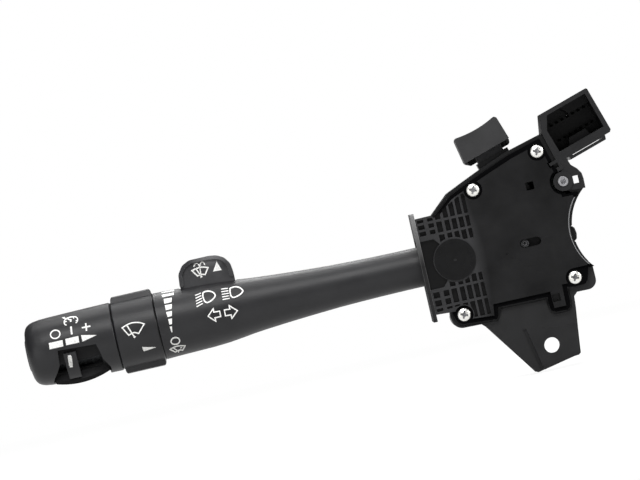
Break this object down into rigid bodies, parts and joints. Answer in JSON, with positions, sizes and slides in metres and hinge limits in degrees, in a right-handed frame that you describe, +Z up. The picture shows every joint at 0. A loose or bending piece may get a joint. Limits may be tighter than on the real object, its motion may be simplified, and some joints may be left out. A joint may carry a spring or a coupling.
{
  "type": "cruise control switch",
  "caption": "Steering column multifunction lever with cruise slider, wiper band, washer paddle, hazard button, wiring socket and bracket.",
  "frame": {"origin": "middle of the bracket's bolt hole, half-way through the plate", "axes": "+X along the lever axis from its tip towards the steering column, +Z up, -Y towards the driver"},
  "size_m": [0.2787, 0.0321, 0.1197],
  "materials": {
    "housing_plastic": "moulded, fine grain",
    "cover_plastic": "moulded, semi-gloss",
    "bracket_plastic": "moulded, fine grain",
    "shield_plastic": "moulded",
    "socket_plastic": "moulded",
    "core_plastic": "moulded",
    "lever_plastic": "fine grain",
    "band_plastic": "fine grain",
    "paddle_plastic": "fine grain",
    "cap_plastic": "fine grain",
    "slider_plastic": "satin",
    "bezel_gloss": "polished",
    "acetal_white": "moulded",
    "acetal_tan": "moulded",
    "board_green": "solder mask",
    "wire_red": "insulation",
    "zinc_screw": "zinc plated",
    "rivet_steel": "dull",
    "pin_steel": "ground",
    "spring_steel": "drawn wire",
    "zinc_casting": "die cast",
    "terminal_brass": "tinned"
  },
  "bodies": {
    "column_unit": {"housing": "housing_plastic", "cover": "cover_plastic", "cover_screws": "zinc_screw", "dust_shield": "shield_plastic", "mounting_bracket": "bracket_plastic", "connector_block": "socket_plastic", "connector_pins": "terminal_brass", "connector_rivet": "rivet_steel", "circuit_board": "board_green", "detent_cam": "acetal_white", "cancel_spring": "spring_steel", "hazard_spring": "spring_steel"},
    "swivel": {"turn_carrier": "acetal_white", "beam_pin": "pin_steel", "detent_spring": "spring_steel"},
    "plunger": {"detent_plunger": "pin_steel"},
    "contact_slider": {"turn_slider": "acetal_tan"},
    "pawl": {"cancel_pawl": "acetal_white"},
    "lever": {"stalk_front": "lever_plastic", "stalk_rear": "lever_plastic", "stalk_root": "zinc_casting", "core_tube": "core_plastic", "wiper_disc": "terminal_brass", "wire_bundle": "wire_red", "paddle_pin": "pin_steel", "paddle_spring": "spring_steel", "end_module": "lever_plastic", "slider_bezel": "bezel_gloss", "cruise_board": "board_green", "set_spring": "spring_steel", "band_leaf": "spring_steel"},
    "band": {"wiper_band": "band_plastic"},
    "paddle": {"washer_paddle": "paddle_plastic"},
    "cruise_knob": {"cruise_slider": "slider_plastic", "slider_ball": "pin_steel"},
    "end_button": {"set_button": "paddle_plastic"},
    "hazard": {"hazard_button": "cap_plastic", "hazard_plunger": "core_plastic"}
  },
  "joints": [
    {"name": "turn_signal", "type": "hinge", "parent": "column_unit", "child": "swivel", "pos_m": [-0.034, 0.01, 0.0472], "axis": [0, 1, 0], "range_deg": [-9, 9]},
    {"name": "beam", "type": "hinge", "parent": "swivel", "child": "lever", "pos_m": [-0.034, 0.01, 0.0472], "axis": [0, 0, 1], "range_deg": [-6, 8], "stiffness_Nm_per_rad": 1.2},
    {"name": "detent_push", "type": "slide", "parent": "swivel", "child": "plunger", "axis": [1, 0, 0], "range_m": [-0.0012, 0], "stiffness_N_per_m": 1500, "springref_m": 0.001},
    {"name": "contact_slide", "type": "slide", "parent": "column_unit", "child": "contact_slider", "axis": [0, 0, 1], "range_m": [-0.0033, 0.0033]},
    {"name": "cancel_slide", "type": "slide", "parent": "column_unit", "child": "pawl", "axis": [1, 0, 0], "range_m": [0, 0.005], "stiffness_N_per_m": 300},
    {"name": "wiper_turn", "type": "hinge", "parent": "lever", "child": "band", "pos_m": [-0.18, 0.01, 0.0472], "axis": [-1, 0, 0], "range_deg": [-19, 88]},
    {"name": "washer_push", "type": "hinge", "parent": "lever", "child": "paddle", "pos_m": [-0.145, 0.0094, 0.056], "axis": [-1, 0, 0], "range_deg": [0, 7], "stiffness_Nm_per_rad": 0.6},
    {"name": "cruise_slide", "type": "slide", "parent": "lever", "child": "cruise_knob", "axis": [1, 0, 0], "range_m": [-0.002, 0.009]},
    {"name": "set_press", "type": "slide", "parent": "lever", "child": "end_button", "axis": [1, 0, 0], "range_m": [0, 0.0016], "stiffness_N_per_m": 1500},
    {"name": "hazard_press", "type": "slide", "parent": "column_unit", "child": "hazard", "axis": [0.2957, 0, -0.9553], "range_m": [0, 0.002], "stiffness_N_per_m": 2000}
  ],
  "couplings": [
    {"joint": "contact_slide", "follows": "turn_signal", "m_per_rad": -0.02}
  ]
}
